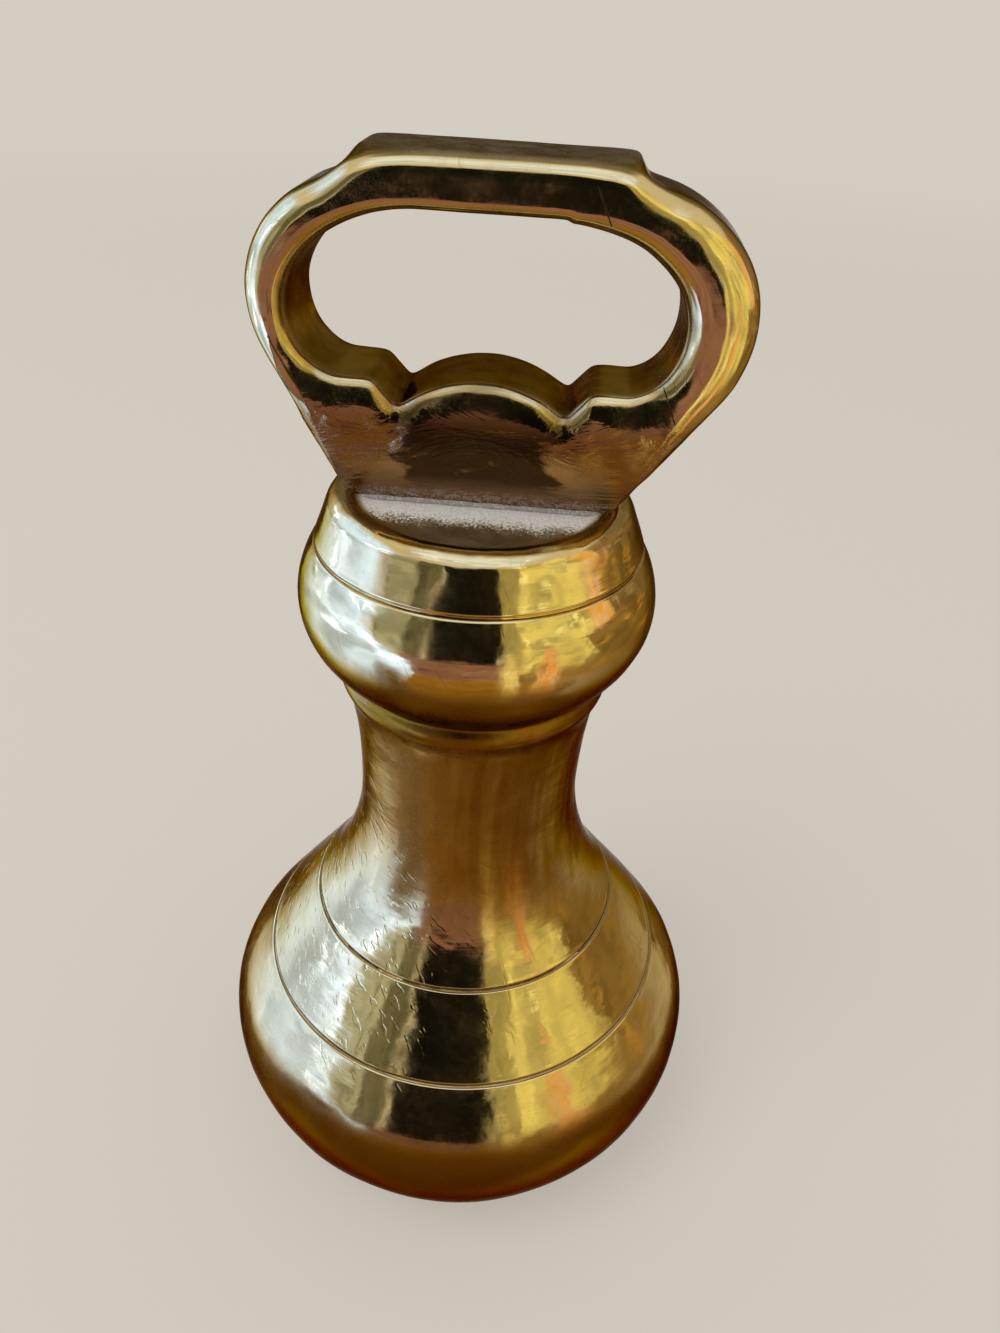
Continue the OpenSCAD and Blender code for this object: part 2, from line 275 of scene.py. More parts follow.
def linePoints(a, b, gap, marks=()):  # finer near the marks
    length, fine = dist(a, b), bell["fineGap"]
    stops, s = [0], 0
    while s < length - 1e-6:
        near = min((abs(s - m) for m in marks), default=9)
        s = min(length, s + (fine if near < 0.9 else min(gap, max(fine, near - 0.8))))
        stops.append(s)
    return [(a[0] + (b[0] - a[0]) * s / length, a[1] + (b[1] - a[1]) * s / length) for s in stops]


def meetHeight(low, high, radiusA, radiusB):
    for _ in range(60):  # halving, towards the height where the curves meet
        middle = (low + high) / 2
        if (radiusA(middle) - radiusB(middle)) * (radiusA(low) - radiusB(low)) > 0:
            low = middle
        else:
            high = middle
    return low


def bellProfile():
    b, gap = named(bell), bell["pointGap"]
    lowC = (b.bulbR - b.bulbLowRound, b.bulbZ)
    topC = (b.bulbR - b.bulbTopRound, b.bulbZ)
    flareC = (b.neckR + b.flareRound, b.neckZ)
    apart = (flareC[0] - topC[0], flareC[1] - topC[1])
    slope = degrees(atan2(apart[1], apart[0]) - acos((b.bulbTopRound + b.flareRound) / hypot(*apart)))
    bulb = arcPoints(topC, b.bulbTopRound, 0, slope, gap)
    flare = arcPoints(flareC, b.flareRound, 180 + slope, 177 + slope, b.fineGap)
    flare += arcPoints(flareC, b.flareRound, 177 + slope, 180, gap)[1:]
    low, high = bulb[-1], flare[0]
    along = dist(low, high) / (high[1] - low[1])
    marks = [(z - low[1]) * along for z in b.lineZ]
    shoulder = linePoints(low, high, gap, marks)

    def neckAt(z):
        return b.neckR + b.neckTopRound - sqrt(b.neckTopRound ** 2 - (z - b.neckZ) ** 2)

    beadC = (b.beadR - b.beadRound, b.beadZ)
    headC = (b.headR - b.headRound, b.headZ)

    def roundAt(centre, radius):
        return lambda z: centre[0] + sqrt(max(0, radius ** 2 - (z - centre[1]) ** 2))

    beadAt, headAt = roundAt(beadC, b.beadRound), roundAt(headC, b.headRound)
    beadLow = meetHeight(b.beadZ - 2.3, b.beadZ - 0.2, neckAt, beadAt)
    beadHigh = meetHeight(b.beadZ + 0.2, b.beadZ + 2.38, beadAt, headAt)
    neckStops = [b.neckZ + (beadLow - b.neckZ) * i / 30 for i in range(1, 30)]
    neck = [(neckAt(z), z) for z in neckStops]

    def angleOn(centre, radius, z):
        return degrees(asin((z - centre[1]) / radius))

    beadEnds = [angleOn(beadC, b.beadRound, z) for z in (beadLow, beadHigh)]
    bead = arcPoints(beadC, b.beadRound, *beadEnds, b.beadGap)
    headEnd = angleOn(headC, b.headRound, b.bandZ)
    head = arcPoints(headC, b.headRound, angleOn(headC, b.headRound, beadHigh), headEnd - 5, gap)
    head += arcPoints(headC, b.headRound, headEnd - 5, headEnd, b.stepGap)[1:]
    bandR = headAt(b.bandZ) + b.bandStep
    out = Vector((b.seatZ - b.bandZ, b.bandTaper)).normalized()  # square to the plain band
    lipZ = b.seatZ + b.lipH - b.lipRound
    lipC = (bandR - (b.lipRound + (lipZ - b.bandZ) * out.y) / out.x, lipZ)
    bandTop = (lipC[0] + b.lipRound * out.x, lipC[1] + b.lipRound * out.y)
    band = linePoints((bandR, b.bandZ), bandTop, b.bandGap, [0])
    lip = arcPoints(lipC, b.lipRound, degrees(atan2(out.y, out.x)), 90, b.lipGap)
    innerC = (lipC[0], b.seatZ + b.lipH - b.lipInner)  # tighter on the seat's side
    lipEnd = 180 - angleOn(innerC, b.lipInner, b.seatZ)
    lip += arcPoints(innerC, b.lipInner, 90, lipEnd, b.lipGap)[1:]
    seatR = lip[-1][0]
    seat = linePoints(lip[-1], (fit.studR, b.seatZ), b.seatGap)
    footAngle = -degrees(asin(b.bulbZ / b.bulbLowRound))
    bulbLow = arcPoints(lowC, b.bulbLowRound, footAngle + 1.2, 0, gap)
    footR = lowC[0] + b.bulbLowRound * cos(radians(footAngle))
    inside = [
        (0, b.chamberTop), (b.chamberR, b.chamberTop), (b.chamberR, b.chamberZ),
        (b.plugR, b.chamberZ), (b.plugR, b.plugZ),
        (b.sealR + b.sealUndercut, b.plugZ), (b.sealR, b.sealZ),
    ]
    dishIn, ring = b.dishR - b.footRound, b.ringRound
    hollow = linePoints((b.sealR, b.dishH), (dishIn, b.dishH), b.dishGap)
    hollow += arcPoints((dishIn, b.footRound), b.footRound, 90, 0, b.footGap)[1:]
    hollow += arcPoints((b.dishR + ring, ring), ring, 180, 270, b.footGap)
    hollow += linePoints((b.dishR + ring, 0), (footR - 0.5, 0), b.dishGap)[1:] + [(footR, 0.12)]
    outside = (hollow + bulbLow + bulb[1:] + shoulder[1:] + flare[1:] + neck + bead + head[1:]
               + band + lip[1:] + seat[1:])
    lean = radians(slope)
    tilt = (cos(lean), sin(lean))
    cuts = [((low[0] - (z - low[1]) * tan(lean), z), tilt) for z in b.lineZ]
    for mark, (nr, nz) in cuts + [((bandR - b.bandStep / 2, b.bandZ), b.bandTilt)]:
        for i, (r, z) in enumerate(outside):
            s = dist((r, z), mark) / b.lineHalf
            if s < 2.4:  # a round cut with a low burr
                cut = b.lineDepth * (1 - rise(s, 0.1, 1.1))
                cut -= b.lineBurr * rise(s, 0.9, 1.3) * (1 - rise(s, 1.3, 2.4))
                outside[i] = (r - nr * cut, z - nz * cut)
    soften(outside, beadLow - 7, beadHigh - 0.5, 20)
    soften(outside, beadHigh - 0.8, beadHigh + 0.8, 4)
    soften(outside, b.seatZ - 1, b.seatZ + 1, 10, seatR - 1.2, seatR + 0.7)
    end = [(fit.studR, b.studEnd), (0, b.studEnd)]
    return inside + outside + end


def soften(points, low, high, passes, inner=0, outer=99):
    for _ in range(passes):
        old = list(points)
        for i in range(1, len(points) - 1):
            if low < old[i][1] < high and inner < old[i][0] < outer:
                points[i] = tuple((old[i - 1][k] + 2 * old[i][k] + old[i + 1][k]) / 4 for k in (0, 1))


def makeBell():
    b = named(bell)
    piece = spinProfile("bellSkin", bellProfile(), b.spinSteps)
    free = weightBy(piece, "free", b.freeZ, b.freeR)
    lip = weightBy(piece, "lip", b.lipFreeZ, b.lipFreeR)
    waveSurface(piece, free, b.waves)
    waveSurface(piece, lip, b.lipWaves)
    drillDowels(piece, b.seatZ - fit.dowelDeep, b.seatZ + fit.past)
    smoothPiece(piece, *b.smooth)
    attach(piece, "root")
    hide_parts("bell_body")
    return piece


# Handle, cast with its scalloped plate

handle = {
    "depth": 16.5, "footDepth": 8, "footHalf": 18.4, "seatZ": 126, "limbLift": 1.2,
    "leftLimb": (5.5, 3.3, 15.5, 4),  # width, shoulder rise, pad end, pad slope
    "rightLimb": (9, 4.4, 17.2, 2),
    "shoulderX": 16, "padTop": 45.3,
    # roundings of the edges: a share of the width, or a fall in millimetres, and a depth
    "outerShare": 0.5, "outerFall": (3, 4.6), "outerDeep": 3.7, "padShare": 0.34, "padDeep": 2.9,
    "loopShare": 0.32, "loopFall": 3, "loopDeep": 2.3, "gripShare": 0.2, "footEdge": 0.3,
    "crestFall": 5, "crestDeep": 2,
    # stations between which the roundings change, or corners are eased in some passes
    "crestU": (13, 21), "fallU": (13, 19), "footU": (11.9, 13.1), "gripU": (32, 37), "endU": (31, 35),
    "easeOuter": (31.5, 38, 10), "easeWorn": (30, 38.5, 70), "easeInner": (5.5, 12.5, 4),
    "loopZ": 26.5, "openingHalf": 25.2, "openingTop": 38.7, "archX": 8,
    "ledgeZ": 18.2, "crestZ": 18.6, "notchZ": 14.5, "notchX": 11.1,
    "ledgeNear": 14.4, "ledgeFar": 18.4,
    "stepX": 9.75, "stepDrop": 0.3, "swell": 2.6, "wornFrom": 2, "wornTo": 6.5,
    "edgeSteps": 7, "faceSteps": 7, "sideSteps": 6, "smooth": (60, 0.9),
    "waves": ((14.3, 0.5), (6.1, 0.09)), "plateWaves": ((6.7, 0.55),),
    "freeZ": ((127.8, 131), (162, 166, 1, 0.35)), "plateZ": ((127.8, 131), (143, 138)),
}
h = named(handle)
# Stations run from the middle of the foot, up one limb, to the middle of the pad
notchU, ledgeU, cornerU, limbU, widestU, slopeU, padU, archU, middleU = 7, 10, 12, 16, 21, 33, 36, 38, 39
archTurn = 68  # degrees of the arch up to the pad's slope


def onBend(centre, a, b, angle):
    t = radians(angle)
    return Vector((centre[0] + a * cos(t), centre[1] + b * sin(t)))


def part(u, low, high):
    return (u - low) / (high - low)


def innerEdge(u):
    if u <= notchU:
        x = h.notchX * u / notchU
        drop = h.crestZ - h.notchZ
        bow = (h.notchX ** 2 + drop ** 2) / (2 * drop)
        return Vector((x, h.crestZ - bow + sqrt(bow * bow - x * x)))
    notch, near = Vector((h.notchX, h.notchZ)), Vector((h.ledgeNear, h.ledgeZ))
    far = Vector((h.ledgeFar, h.ledgeZ))
    if u <= ledgeU:
        return notch.lerp(near, part(u, notchU, ledgeU))
    if u <= cornerU:
        return near.lerp(far, part(u, ledgeU, cornerU))
    if u <= widestU:
        turn = 90 * part(u, cornerU, widestU) - 90
        return onBend((h.ledgeFar, h.loopZ), h.openingHalf - h.ledgeFar, h.loopZ - h.ledgeZ, turn)
    arch = ((h.archX, h.loopZ), h.openingHalf - h.archX, h.openingTop - h.loopZ)
    if u <= slopeU:
        return onBend(*arch, archTurn * part(u, widestU, slopeU))
    if u <= archU:
        return onBend(*arch, archTurn + (90 - archTurn) * part(u, slopeU, archU))
    return Vector((h.archX * (middleU - u), h.openingTop))


def outerEdge(u, limb):
    width, shoulderRise, padX, padSlope = limb
    if u <= cornerU:
        share = float(np.interp(u, (0, notchU, ledgeU, cornerU), (0, 0.62, 0.9, 1)))
        return Vector((h.footHalf * share, 0))
    centre = Vector((h.shoulderX, h.loopZ + h.limbLift))
    a = h.openingHalf + width - h.shoulderX
    b = h.openingTop + shoulderRise - centre.y
    foot = Vector((h.footHalf, 0))
    down = foot - centre
    touch = degrees(atan2(down.y, down.x) + acos(a / down.length))
    if u <= limbU:
        return foot.lerp(onBend(centre, a, a, touch), part(u, cornerU, limbU))
    if u <= widestU:
        return onBend(centre, a, a, touch * part(u, widestU, limbU))
    slopeEnd = degrees(acos((padX + padSlope - h.shoulderX) / a))
    if u <= slopeU:
        return onBend(centre, a, b, slopeEnd * part(u, widestU, slopeU))
    low = onBend(centre, a, b, slopeEnd)
    if u <= padU:
        t = float(np.interp(u, (slopeU, slopeU + 1, padU - 1, padU), (0, 0.3, 0.7, 1)))
        ease = (1 - cos(pi * t)) / 2
        return Vector((low.x + (padX - low.x) * t, low.y + (h.padTop - low.y) * ease))
    return Vector((padX * part(u, middleU, padU), h.padTop))


# The plate's two faces swell out from the foot to the handle's full depth at the ledges
def depthShare(z):
    foot = h.footDepth / h.depth
    return 1 - (1 - foot) * (1 - min(1, max(0, z / h.ledgeZ))) ** h.swell


def handleSection(u, outer, inner, worn):
    half, n = h.depth / 2, h.edgeSteps
    width = (outer - inner).length
    (inW, inD), (outW, outD) = edgeRounds(u, width)  # each rounding is a quarter ellipse
    quarter = [radians(90 * k / n) for k in range(n + 1)]
    face = [k / h.faceSteps for k in range(1, h.faceSteps)]
    side = [k / h.sideSteps for k in range(1, h.sideSteps)]
    far = width - outW
    outY, inY = half - outD, half - inD
    spots = [(far + outW * sin(t), -outY - outD * cos(t)) for t in quarter]
    spots += [(width, -outY + 2 * outY * s) for s in side]
    spots += [(far + outW * cos(t), outY + outD * sin(t)) for t in quarter]
    spots += [(far + (inW - far) * s, half) for s in face]
    spots += [(inW - inW * sin(t), inY + inD * cos(t)) for t in quarter]
    spots += [(0, inY - 2 * inY * s) for s in side]
    spots += [(inW - inW * cos(t), -inY - inD * sin(t)) for t in quarter]
    spots += [(inW + (far - inW) * s, -half) for s in face]
    section = []
    for w, y in spots:
        edge = outer.lerp(worn, rise(-y, h.wornFrom, h.wornTo))  # the front's corners are worn down
        x, z = inner.lerp(edge, w / width)
        section.append(Vector((x, y * depthShare(z), h.seatZ + z)) * mm)
    return section


def edgeRounds(u, width):
    inW = rise(u, *h.crestU, h.crestFall, min(h.loopShare * width, h.loopFall))
    outW = min(h.outerShare * width, rise(u, *h.fallU, *h.outerFall))
    outW = rise(u, *h.footU, h.footEdge, outW)
    inD = rise(u, *h.crestU, h.crestDeep, h.loopDeep)
    outD = rise(u, *h.footU, h.footEdge, h.outerDeep)
    return ((rise(u, *h.gripU, inW, h.gripShare * width), inD),
            (rise(u, *h.endU, outW, h.padShare * width), rise(u, *h.endU, outD, h.padDeep)))


# Rounds the corners of one edge of the ring between two stations
def easeCorners(ring, edge, low, high, passes):
    for _ in range(passes):
        old = [row[edge].copy() for row in ring]
        for i, row in enumerate(ring):
            if low < row["u"] < high:
                row[edge] = (old[i - 1] + 2 * old[i] + old[(i + 1) % len(ring)]) / 4


def handleSections():
    line, low = [], 0
    for high, cuts in ((notchU, 3), (ledgeU, 4), (cornerU, 3), (slopeU, 3), (middleU, 5)):
        line += [low + k / cuts for k in range((high - low) * cuts)]
        low = high
    line.append(middleU)
    ring = []
    for side, limb, order in ((1, h.rightLimb, line), (-1, h.leftLimb, line[-2:0:-1])):
        for u in order:
            p, q = outerEdge(u, limb), innerEdge(u)
            if side > 0 and u > 30:  # the small step in the grip's lower edge
                step = rise(q.x, h.stepX - 0.5, h.stepX + 0.4) * (1 - rise(q.x, 12, 20))
                q.y -= h.stepDrop * step
            p.x, q.x = side * p.x, side * q.x
            ring.append({"u": u, "outer": p, "inner": q})
    easeCorners(ring, "outer", *h.easeOuter)
    for row in ring:
        row["worn"] = row["outer"].copy()
    easeCorners(ring, "worn", *h.easeWorn)
    easeCorners(ring, "inner", *h.easeInner)
    return [handleSection(**row) for row in ring]


# How far each vertex faces the middle of the loop, for the painted shade on the loop's inside
def markInside(piece):
    middle = Vector((0, 0, h.seatZ + h.loopZ)) * mm
    layer = piece.data.attributes.new("inside", "FLOAT", "POINT")
    for vertex, value in zip(piece.data.vertices, layer.data):
        inwards = middle - vertex.co
        inwards.y = 0
        value.value = rise(vertex.normal.dot(inwards.normalized()), 0.2, 0.8)


def makeHandle():
    foot = h.seatZ
    piece = extrudeSections("handleSkin", handleSections(), True)
    addModifier(piece, "SUBSURF", levels=1, render_levels=1)
    free = weightBy(piece, "free", h.freeZ)
    plate = weightBy(piece, "plate", h.plateZ)
    waveSurface(piece, free, h.waves)
    waveSurface(piece, plate, h.plateWaves)
    drill(piece, 0, fit.studR, foot - fit.past, foot + fit.studUp)
    drillDowels(piece, foot - fit.past, foot + fit.dowelDeep)
    smoothPiece(piece, *h.smooth)
    markInside(piece)
    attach(piece, "root")
    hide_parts("handle")
    return piece


bellSkin = makeBell()
print("bell turned,", len(bellSkin.data.polygons), "faces")
handleSkin = makeHandle()
print("handle cast,", len(handleSkin.data.polygons), "faces")

# Solder runs along the handle's foot

solderRun = {
    "reach": 0.9, "edge": 0.04, "steps": 150, "arcSteps": 9, "endGap": 0.03,
    "waves": ((0.6, 0.07),), "freeZ": ((126.02, 126.25),), "seed": 5, "taper": (-0.2, 2.2, 0.25, 1),
    "smooth": (60, 0.1),
}


def makeSolder(name, node, facing):
    s = named(solderRun)
    half = h.footHalf - s.endGap
    lean = atan2(h.swell * (h.depth - h.footDepth) / 2, h.ledgeZ)  # of the plate, at its foot
    dice = random.Random(s.seed + (facing > 0))
    waves = [(dice.uniform(0.25, 1.6), dice.uniform(0, 6.3)) for _ in range(5)]
    sections = []
    for k in range(s.steps + 1):
        x = half * (2 * k / s.steps - 1)
        wobble = sum(sin(x * rate + turn) for rate, turn in waves) / len(waves)
        taper = rise(half - abs(x), *s.taper)  # thinner towards the ends
        reach = max(0.12, s.reach * (0.82 + 0.16 * wobble) * taper)
        bow = reach * tan((pi / 2 - lean) / 2)  # radius of the hollow
        start = atan2(reach * cos(lean) - bow, reach * sin(lean) - reach)
        spots = [(0, 0), (reach * sin(lean), reach * cos(lean))]
        for i in range(1, s.arcSteps):
            t = start + (1.5 * pi - start) * i / s.arcSteps
            spots.append((reach + (bow - s.edge) * cos(t), bow + (bow - s.edge) * sin(t)))
        spots += [(reach, 0), (reach * 2 / 3, 0), (reach / 3, 0)]
        wall = h.footDepth / 2
        sections.append([Vector((x, facing * (wall + out), h.seatZ + up)) * mm for out, up in spots])
    piece = extrudeSections(name, sections, False)
    waveSurface(piece, weightBy(piece, "grain", s.freeZ), s.waves)
    smoothPiece(piece, *s.smooth)
    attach(piece, "root")
    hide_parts(node)
    return piece


frontRun = makeSolder("frontRun", "front_solder", -1)
rearRun = makeSolder("rearRun", "rear_solder", 1)
print("solder run")

# Lead seal under the foot, hammered flat

seal = {"r": 11.2, "undercut": 0.6, "low": 1.5, "high": 3.5, "edge": 0.35,
        "spinSteps": 128, "gap": 0.3, "cornerGap": 0.12, "blows": ((2.6, 0.28),),
        "blowZ": ((1.7, 1.6),), "blowR": ((10.8, 9.4),), "smooth": (50, 0.8)}


def makeSeal():
    s = named(seal)
    face = linePoints((0, s.low), (s.r - s.edge, s.low), s.gap)
    corner = arcPoints((s.r - s.edge, s.low + s.edge), s.edge, -90, 0, s.cornerGap)
    top = s.r + s.undercut
    back = [(top - 0.02, s.high - 0.2), (top - 0.25, s.high), (top / 2, s.high), (0, s.high)]
    piece = spinProfile("sealDisc", face + corner[1:] + back, s.spinSteps)
    waveSurface(piece, weightBy(piece, "struck", s.blowZ, s.blowR), s.blows, "VORONOI")
    smoothPiece(piece, *s.smooth)
    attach(piece, "root")
    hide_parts("lead_seal")
    return piece


sealDisc = makeSeal()
print("seal struck")

# Shader helpers and shared effects

tree = owner = None  # the node tree that the helpers add to, and what has it


def openNodes(thing):
    global tree, owner
    thing.use_nodes = True
    tree, owner = thing.node_tree, thing


def feed(sockets, feeds):
    for key, value in dict(feeds).items():
        if isinstance(value, bpy.types.NodeSocket):
            tree.links.new(value, sockets[key])
        else:
            sockets[key].default_value = value


def put(kind, feeds=(), **sets):
    node = tree.nodes.new("ShaderNode" + kind)
    for key, value in sets.items():
        setattr(node, key, value)
    feed(node.inputs, feeds)
    return node


def calc(operation, a, b=0, clamp=False):
    return put("Math", {0: a, 1: b}, operation=operation, use_clamp=clamp).outputs[0]


def times(a, b):
    return calc("MULTIPLY", a, b)


def plus(a, b, clamp=False):
    return calc("ADD", a, b, clamp)


def vector(operation, a, b=(0, 0, 0), gives="Vector"):
    return put("VectorMath", {0: a, 1: b}, operation=operation).outputs[gives]


def scaled(where, scale):
    return vector("MULTIPLY", where, scale)


def turned(where, angles):
    return put("Mapping", {"Vector": where, "Rotation": angles}).outputs[0]


def split(where):
    return put("SeparateXYZ", {0: where}).outputs


def tint(share, a, b):
    return put("Mix", {0: share, 6: a, 7: b}, data_type="RGBA").outputs[2]


def ramp(value, low, high, toLow=0, toHigh=1):
    limits = {"From Min": low, "From Max": high, "To Min": toLow, "To Max": toHigh}
    return put("MapRange", {"Value": value, **limits}, interpolation_type="SMOOTHSTEP").outputs[0]


def speck(where, scale, detail=3, rough=0.6, bend=0):
    feeds = {"Vector": where, "Scale": scale, "Detail": detail, "Roughness": rough, "Distortion": bend}
    return put("TexNoise", feeds).outputs["Fac"]


def attribute(name):
    return put("Attribute", attribute_name=name).outputs["Fac"]


def objectPlace():
    return put("TexCoord").outputs["Object"]


# A group opens with its inputs and their values, and closes with what feeds its outputs
def openGroup(name, takes):
    global tree
    tree = bpy.data.node_groups.new(name, "ShaderNodeTree")
    kinds = {1: "Float", 3: "Vector", 4: "Color"}  # by the count of numbers
    for label, value in takes.items():
        kind = "NodeSocket" + kinds[np.size(value)]
        tree.interface.new_socket(label, in_out="INPUT", socket_type=kind).default_value = value
    return tree.nodes.new("NodeGroupInput").outputs


def closeGroup(gives):
    for label in gives:
        kind = "NodeSocket" + ("Color" if label == "Color" else "Float")
        tree.interface.new_socket(label, in_out="OUTPUT", socket_type=kind)
    feed(tree.nodes.new("NodeGroupOutput").inputs, gives)
    return tree


def useGroup(group, feeds=()):
    return put("Group", feeds, node_tree=group).outputs


midNoise = (0.3, 0.7)  # most of a noise lies between these
# brown, olive, plum, umber and the near-black tint listed after brown are painted shade and painted
# reflection; the other colours are the brass's own
brass = {
    "bright": (0.87, 0.69, 0.33, 1), "deep": (0.38, 0.2, 0.03, 1), "ruddy": (0.7, 0.43, 0.2, 1),
    "dirt": (0.035, 0.022, 0.01, 1), "rubbed": (0.93, 0.8, 0.47, 1), "olive": (0.24, 0.17, 0.06, 1),
    "brown": (0.24, 0.115, 0.012, 1), "smoke": (0.045, 0.026, 0.014, 1), "plum": (0.32, 0.172, 0.075, 1),
    "umber": (0.15, 0.074, 0.045, 1), "scuffed": (0.72, 0.68, 0.58, 1), "frost": (0.97, 0.96, 0.95, 1),
    "grit": (0.8, 0.79, 0.75, 1), "grazing": (0.23, 0.135, 0.058, 1), "frostSize": 3000,
}
metal = named(brass)


# Patchy brass: bright and brown in patches, ruddy in places; the amount fed in to darken it stands for
# tarnish and for painted shade
def makeBrassTone():
    takes = openGroup("brassTone", {
        "Bright": metal.bright, "Deep": metal.deep, "Ruddy": metal.ruddy, "TarnishAndShade": 0, "Size": 60})
    where = objectPlace()
    broad = speck(where, takes["Size"], 4, 0.55, 0.6)
    middle = speck(where, times(takes["Size"], 4.3), 4, 0.6, 0.4)
    fine = speck(where, times(takes["Size"], 31), 2, 0.6)
    dullAndShade = plus(takes["TarnishAndShade"], ramp(broad, 0.35, 0.75, -0.12, 0.22), True)
    colour = tint(dullAndShade, takes["Bright"], takes["Deep"])
    colour = tint(ramp(middle, 0.56, 0.76, 0, 0.32), colour, takes["Ruddy"])
    colour = tint(ramp(fine, 0.62, 0.8, 0, 0.25), colour, takes["Deep"])
    rough = plus(ramp(dullAndShade, 0, 1, 0.09, 0.27), ramp(middle, 0.35, 0.7, -0.02, 0.07))
    return closeGroup({"Color": colour, "Roughness": plus(rough, ramp(fine, 0.4, 0.75, 0, 0.05))})


# Fine drawn marks: noise stretched by the scale it is given
def makePolishMarks():
    takes = openGroup("polishMarks", {"Stretch": (60, 60, 2400), "Cross": (1600, 90, 90)})
    where = objectPlace()
    drawn = speck(scaled(where, takes["Stretch"]), 1)
    nicks = speck(scaled(turned(where, (0.5, 0.35, 0.6)), takes["Cross"]), 1, 2, 0.5)
    height = plus(drawn, ramp(nicks, 0.66, 0.8, 0, -0.8))
    return closeGroup({"Height": height, "Mask": ramp(nicks, 0.64, 0.78)})


# Edges rubbed bright and hollows that hold dirt, broken up by noise
def makeWornEdges():
    takes = openGroup("wornEdges", {"Break": 900})
    broken = speck(objectPlace(), takes["Break"])
    wear = times(ramp(attribute("ridge"), 0.1, 0.6), ramp(broken, 0.3, 0.65))
    dirt = times(ramp(attribute("hollow"), 0.12, 0.75), ramp(broken, 0.15, 0.55, 0.55, 1))
    return closeGroup({"Wear": wear, "Dirt": dirt})


# Frosted grain: bright crystals on a dull ground
def makeFrostGrain():
    takes = openGroup("frostGrain", {"Size": 2600})
    where = objectPlace()
    cells = put("TexVoronoi", {"Vector": where, "Scale": takes["Size"]}).outputs["Distance"]
    cloud = speck(where, times(takes["Size"], 0.35), 3, 0.65)
    return closeGroup({"Height": calc("SUBTRACT", cloud, times(cells, 0.6)),
                       "Mask": times(ramp(cells, 0.65, 0.1), ramp(cloud, 0.35, 0.6))})


# A crack between two points of the front face, given as X, Y and Z
def makeHairline():
    takes = openGroup("hairline", {"From": (0, 0, 0), "To": (0, 0, 0.01), "Width": 0.00012})
    where = objectPlace()
    shiver = speck(where, 500, 2, 0.55)
    level = (1, 0, 1)  # the crack's depth doesn't count
    offset = vector("SUBTRACT", where, takes["From"])
    aim = scaled(vector("SUBTRACT", takes["To"], takes["From"]), level)
    flat = scaled(offset, level)
    share = calc("DIVIDE", vector("DOT_PRODUCT", flat, aim, "Value"),
                 vector("DOT_PRODUCT", aim, aim, "Value"), True)
    foot = put("VectorMath", {0: aim, "Scale": share}, operation="SCALE").outputs[0]
    gap = plus(vector("DISTANCE", flat, foot, "Value"), times(calc("SUBTRACT", shiver, 0.5), 0.0004))
    thin = calc("DIVIDE", calc("ABSOLUTE", gap), takes["Width"])
    front = ramp(split(offset)["Y"], 0.005, 0.003)
    return closeGroup({"Mask": times(ramp(thin, 1, 0.3), front)})


brassTone = makeBrassTone()
polishMarks = makePolishMarks()
wornEdges = makeWornEdges()
frostGrain = makeFrostGrain()
hairline = makeHairline()
print("shared effects built")

# Materials


def newMaterial(name):
    openNodes(bpy.data.materials.new(name))


def dress(piece, material):
    piece.data.materials.clear()
    piece.data.materials.append(material)


# Bumps one on another, each given as height and depth
def bumps(*layers):
    normal = {}
    for height, depth in layers:
        node = put("Bump", {"Height": height, "Distance": depth, **normal})
        normal = {"Normal": node.outputs[0]}
    return normal["Normal"]


# grazing is a metal's tint at a grazing view
def finishLook(colour, rough, normal, metallic, grazing=(1, 1, 1, 1)):
    feed(tree.nodes["Principled BSDF"].inputs, {
        "Base Color": colour, "Roughness": rough, "Normal": normal, "Metallic": metallic,
        "Specular Tint": grazing})
    return owner


def brassLook(tarnish, finish, dirty):
    tone = useGroup(brassTone, {"TarnishAndShade": tarnish, "Size": finish.patchSize})
    marks = useGroup(polishMarks, {"Stretch": finish.stretch, "Cross": finish.cross})
    edges = useGroup(wornEdges)
    dirt = times(edges["Dirt"], dirty)
    colour = tint(times(edges["Wear"], 0.6), tone["Color"], metal.rubbed)
    colour = tint(times(marks["Mask"], 0.25), colour, metal.deep)
    colour = tint(dirt, colour, metal.dirt)
    rough = plus(tone["Roughness"], times(dirt, 0.35))
    rough = calc("SUBTRACT", rough, times(edges["Wear"], 0.04))
    return colour, rough, marks["Height"]


# Pairs run in metres from where a finish begins to where it is full
bellFinish = {
    "patchSize": 55, "stretch": (45, 45, 1300), "cross": (1500, 130, 130),
    "neckFoot": (0.05, 0.07), "neckTop": (0.1025, 0.098), "neckLeft": (-0.017, -0.002),
    "neckRight": (-0.008, 0.012), "streaks": (420, 420, 16),
    "bulbUnder": (0.0305, 0.0245), "bulbLeft": (-0.036, -0.016),
    "headUnder": (0.1115, 0.106), "headLeft": (-0.022, -0.009), "headFoot": (0.094, 0.098),
    "sideLeft": (0.013, 0.024), "sideFoot": (0.044, 0.056), "sideTop": (0.094, 0.08), "lip": (0.1252, 0.1238),
    "seatZ": (0.1254, 0.1258), "seatR": (0.0185, 0.0168),
    "frostReach": (0.0148, 0.0065), "frostUneven": (-0.0007, 0.0007), "unevenSize": 300,
    "grainSize": 2500, "gritSize": 3600, "lumpSize": 170,
    "knockRight": (0.012, -0.016), "knockFoot": (0.03, 0.042), "knockTop": (0.09, 0.07),
    "knockTurn": (0.3, 0.9, 0.5), "knocks": (1150, 380, 380), "ripples": (110, 110, 520),
    "lumpDepth": 0.00011, "rippleDepth": 0.00003, "streakDepth": 0.00002, "knockDepth": 0.000035,
    "frostDepth": 0.00006, "markDepth": 0.000008,
}


